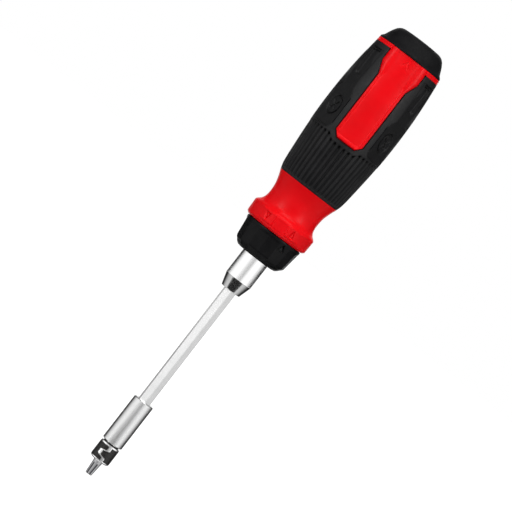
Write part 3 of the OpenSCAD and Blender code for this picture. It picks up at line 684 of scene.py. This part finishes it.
# Three red panels that show through the rubber, moulded with the body. A rounded border about
# 2.3 mm wide frames each one's flat floor, and a small chevron is sunk near the top.
panel_half = [(5.5, 209.4), (8.4, 212.7), (8.4, 247.0), (11.2, 253.9), (11.2, 262.6)]
flat_half, flat_low = 6.25, 211.6
border = [(1.3, 0.0), (0.5, 0.14), (0.3, 0.32), (0.28, 0.55), (0.48, 0.8), (0.85, 1.0)]
border_steps = (0.3, 0.4, 0.5, 0.6, 0.5)
chevron = [(-1.9, 257.0), (0, 259.8), (1.9, 257.0), (0, 259.81)]
panel_t = 1.4
cuts_up = [209 + 1.33 * k for k in range(1, 40)] + [256.4 + 0.2 * k for k in range(20)]
cuts_across = [1.25 * k for k in range(-8, 9)] + [-2.4 + 0.25 * k for k in range(20)]
for lobe, side in enumerate((0, 120, 240)):
    outline = [(h, z) for h, z in panel_half] + [(-h, z) for h, z in reversed(panel_half)]
    past_top = [(x, z + (9 if z > 262 else 0)) for x, z in outline]
    bm = bmesh.new()
    face = bm.faces.new([bm.verts.new((x, 0, z)) for x, z in outline])
    for step in border_steps:
        bmesh.ops.inset_region(bm, faces=[face], thickness=step, depth=0,
                               use_even_offset=True, use_boundary=True)
    for place, normal in ([((0, 0, z), (0, 0, 1)) for z in cuts_up]
                          + [((x, 0, 0), (1, 0, 0)) for x in cuts_across]):
        bmesh.ops.bisect_plane(bm, geom=bm.verts[:] + bm.edges[:] + bm.faces[:],
                               plane_co=place, plane_no=normal, dist=1e-4)
    for vertex in bm.verts:
        x, _, z = vertex.co
        rim = edge_distance(x, z, past_top)
        to_flat = max(abs(x) - flat_half, flat_low - z, 0)
        depth = on_lines(border, rim / max(rim + to_flat, 1e-6))
        depth += 0.3 * ease(1 - (edge_distance(x, z, chevron) - 0.1) / 0.3)
        r = on_curve(grip_curve, z) - depth
        vertex.co.y = -math.sqrt(max(r * r - x * x, 1))
    bmesh.ops.recalc_face_normals(bm, faces=bm.faces)
    if sum(f.normal.y for f in bm.faces) > 0:
        bmesh.ops.reverse_faces(bm, faces=bm.faces)
    bmesh.ops.solidify(bm, geom=bm.faces[:], thickness=panel_t)
    bmesh.ops.rotate(bm, cent=(0, 0, 0), verts=bm.verts,
                     matrix=Matrix.Rotation(math.radians(side), 3, "Z"))
    piece(f"red_panel_{lobe + 1}", bm, body_red, "handle", [], 30)

# Rubber grip: soft black thermoplastic rubber, moulded over the body. It has 45 fine ribs below,
# frames round the red panels, and three flat recesses, each with a sunk ring round a cross or a
# slot (two common shapes of a screw's head), a deep slot and a short notch. All lies a hair
# under the solid's outline.
side_half = [(7.2, 210.2), (9.6, 213), (9.6, 228.5), (6.6, 233.5), (6.6, 257.4)]
side_curve = [(205, 18.7), (222, 18.4), (236, 18.7), (249, 19.1), (264, 19.2)]
recess_low, recess_high = 210.2, 257.6
pocket_half = [(2.2, 240.5), (3.2, 242), (3.2, 255), (2.2, 256.5)]
pocket_depth, notch_half, notch_depth = 1.4, 4.4, 1.3
rib_pitch = math.radians(8)
rib_groove_depth, rib_groove_half = 1.0, 0.95
icon_z, icon_r, stroke_r, icon_depth = 221.75, 5.1, 3.0, 0.95
window_margin, window_depth = 0.4, 2.3
under_outline = 0.01
third = math.radians(120)
grip_rows = []
for low, high, count in ((grip_low, 182.6, 7), (182.6, 205, 16), (205, 210.2, 20),
                         (210.2, 214.5, 12), (214.5, 216, 3), (216, 227.6, 44),
                         (227.6, 234.5, 14), (234.5, 240, 4), (240, 243, 8), (243, 246.2, 3),
                         (246.2, 255, 22), (255, 258, 11), (258, grip_high - 0.3, 4)):
    grip_rows += steps_between(low, high, count)
grip_rows += [grip_high - 0.3, grip_high - 0.1, grip_high]
profile = [(on_curve(grip_curve, z), z) for z in grip_rows]
profile += [(on_curve(grip_curve, z) - rubber_t + 0.01, z)
            for z in (grip_high, 240, 220, 200, grip_low)]
bm = lathe(profile, 540)
for vertex in bm.verts:
    x, y, z = vertex.co
    r = math.hypot(x, y)
    outer = on_curve(grip_curve, z)
    if r < outer - 1:
        continue
    angle = math.atan2(y, x) + math.pi / 2
    across = outer * math.sin((angle + third / 2) % third - third / 2)
    side_turn = angle % third - third / 2
    sink = under_outline
    rib_top = on_lines([(206.9, 6.8), (209.3, 9.6)], abs(across))
    sink += 0.14 * ease((rib_top + 0.3 - z) / 0.35)
    along = ((angle % rib_pitch) - rib_pitch / 2) * outer
    ends = max(z - (rib_top - 0.5), 182.3 - z, 0)
    sink += rib_groove_depth * ease(1 - (math.hypot(along, ends) - 0.1) / rib_groove_half)
    sink += 0.7 * ease(1 - math.hypot(along, z - rib_top + 0.45) / 0.85)
    distance = on_curve(side_curve, z)
    flat_x = distance * math.tan(side_turn)
    inside = min(on_lines(side_half, z) - abs(flat_x), z - recess_low, recess_high - z)
    step = max(outer - distance / math.cos(side_turn), 0.4 * ease((z - 211) / 4))
    sink += step * ease(inside / 0.7)
    crease = ease(1 - abs(inside - 0.4) / 0.5) * ease((237 - z) / 4) * ease((z - 212) / 3)
    sink += 0.8 * crease
    pocket = min(on_lines(pocket_half, z) - abs(flat_x), z - 240.5, 256.5 - z)
    sink += pocket_depth * ease(pocket / 0.9)
    sink += notch_depth * ease(min(notch_half - abs(flat_x), z - 255.5, 257.3 - z) / 0.5)
    if abs(z - icon_z) < 6.2 and abs(flat_x) < 6.2:
        up = z - icon_z
        reach = math.hypot(flat_x, up)
        slanted = min(abs(flat_x + up), abs(flat_x - up)) / math.sqrt(2)
        stroke = abs(flat_x) if int(angle % (2 * math.pi) / third) == 1 else slanted
        line = min(abs(reach - icon_r), max(stroke, reach - stroke_r))
        sink += icon_depth * ease(1 - (line - 0.25) / 0.4)
    window = min(on_lines(panel_half, z) - abs(across), z - panel_half[0][1]) + window_margin
    sink += window_depth * ease(window / 0.55)
    sink += 0.12 * (1 - ease((z - grip_low) / 0.3)) + 0.15 * (1 - ease((grip_high - z) / 0.3))
    vertex.co.x, vertex.co.y = x * (outer - sink) / r, y * (outer - sink) / r
grip_rubber = new_finish("grip_rubber", (0.008, 0.008, 0.0085), 0.0, 0.44,
                         Specular_IOR_Level=0.16)
vary_colour(grip_rubber, pattern(grip_rubber, 120), (0.0065, 0.0065, 0.007),
            (0.0095, 0.0095, 0.01))
vary_roughness(grip_rubber, pattern(grip_rubber, 500), 0.38, 0.52)
relief(grip_rubber, pattern(grip_rubber, 2400, 3), 0.00004)
piece("moulded_grip", bm, grip_rubber, "handle", ["rubber_grip"], 40)

# End cap: black nylon, turned in shape, with a soft shoulder and a nearly flat end. Its plug
# closes the bit store, with a rubber ring in a groove, and holds the rack's stem.
cap_outline = [(18.3, 262.75), (18.5, 262.85), (18.58, 263.3), (18.45, 263.65), (18.15, 264.05),
               (17.3, 265.0), (16.4, 267), (15.45, 269), (14.2, 271), (13.1, 272), (12.3, 272.5),
               (11.2, 272.85), (9, 273.02), (5, 273.08), (0, 273.1)]
profile = cap_outline + [(0, 264.5), (4.2, 264.5), (4.2, 256.5), (13.1, 256.5), (13.35, 256.75),
                         (13.35, 259.2), (12.15, 259.2), (12.15, 261.1), (13.35, 261.1),
                         (13.35, 262.75)]
bm = lathe(profile, 192)
cap_nylon = new_finish("cap_nylon", (0.004, 0.004, 0.0045), 0.0, 0.48, Specular_IOR_Level=0.08)
vary_colour(cap_nylon, pattern(cap_nylon, 150), (0.003, 0.003, 0.0035), (0.0055, 0.0055, 0.006))
vary_roughness(cap_nylon, pattern(cap_nylon, 450), 0.44, 0.58)
relief(cap_nylon, pattern(cap_nylon, 3000, 2), 0.00003)
piece("cap", bm, cap_nylon, "cap_unit", ["end_cap"], 40)

# Bit rack: dark grey nylon, clipped to the cap's plug. Its seal is a plain rubber ring.
rack_grey = new_finish("rack_grey", (0.045, 0.045, 0.05), 0.0, 0.5)
vary_roughness(rack_grey, pattern(rack_grey, 500), 0.42, 0.6)
relief(rack_grey, pattern(rack_grey, 2600, 2), 0.00002)
finish_node("bit_rack", rack_grey)
seal_black = new_finish("seal_black", (0.012, 0.012, 0.012), 0.0, 0.45)
vary_roughness(seal_black, pattern(seal_black, 700), 0.38, 0.55)
for seal in ("cap_seal", "dust_seal"):
    finish_node(seal, seal_black)

# Ratchet inside the handle: zinc die-cast housing and cover, ground and hardened gear, pawls and
# pins, oil-soaked bronze bushings, blued clips and springs, and a plated magnet.
zinc = new_finish("zinc", (0.5, 0.5, 0.51), 1.0, 0.5)
vary_roughness(zinc, pattern(zinc, 400), 0.42, 0.62)
relief(zinc, pattern(zinc, 1800, 3), 0.00003)
ground_steel = new_finish("ground_steel", (0.42, 0.43, 0.45), 1.0, 0.3)
vary_roughness(ground_steel, pattern(ground_steel, 900, 3, (1, 0.1, 1)), 0.24, 0.42)
bushing_bronze = new_finish("bushing_bronze", (0.55, 0.36, 0.15), 1.0, 0.4)
vary_roughness(bushing_bronze, pattern(bushing_bronze, 1500), 0.34, 0.55)
blued_steel = new_finish("blued_steel", (0.12, 0.12, 0.14), 1.0, 0.33)
vary_colour(blued_steel, pattern(blued_steel, 700), (0.09, 0.09, 0.11), (0.16, 0.16, 0.18))
magnet_plate = new_finish("magnet_plate", (0.6, 0.58, 0.55), 1.0, 0.25)
vary_roughness(magnet_plate, pattern(magnet_plate, 900), 0.2, 0.35)
inner_finishes = {
    zinc: ("ratchet_housing", "housing_cover"),
    ground_steel: ("ratchet_gear", "pawl_right", "pawl_left", "pawl_pins", "detent_ball"),
    bushing_bronze: ("front_bushing", "rear_bushing", "thrust_washer"),
    blued_steel: ("bit_clip", "ring_clip", "cover_clip", "shaft_clip", "detent_spring",
                  "pawl_spring_right", "pawl_spring_left"),
    magnet_plate: ("magnet",),
}
for inner_finish, inner_nodes in inner_finishes.items():
    for inner_node in inner_nodes:
        finish_node(inner_node, inner_finish)

low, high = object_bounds()
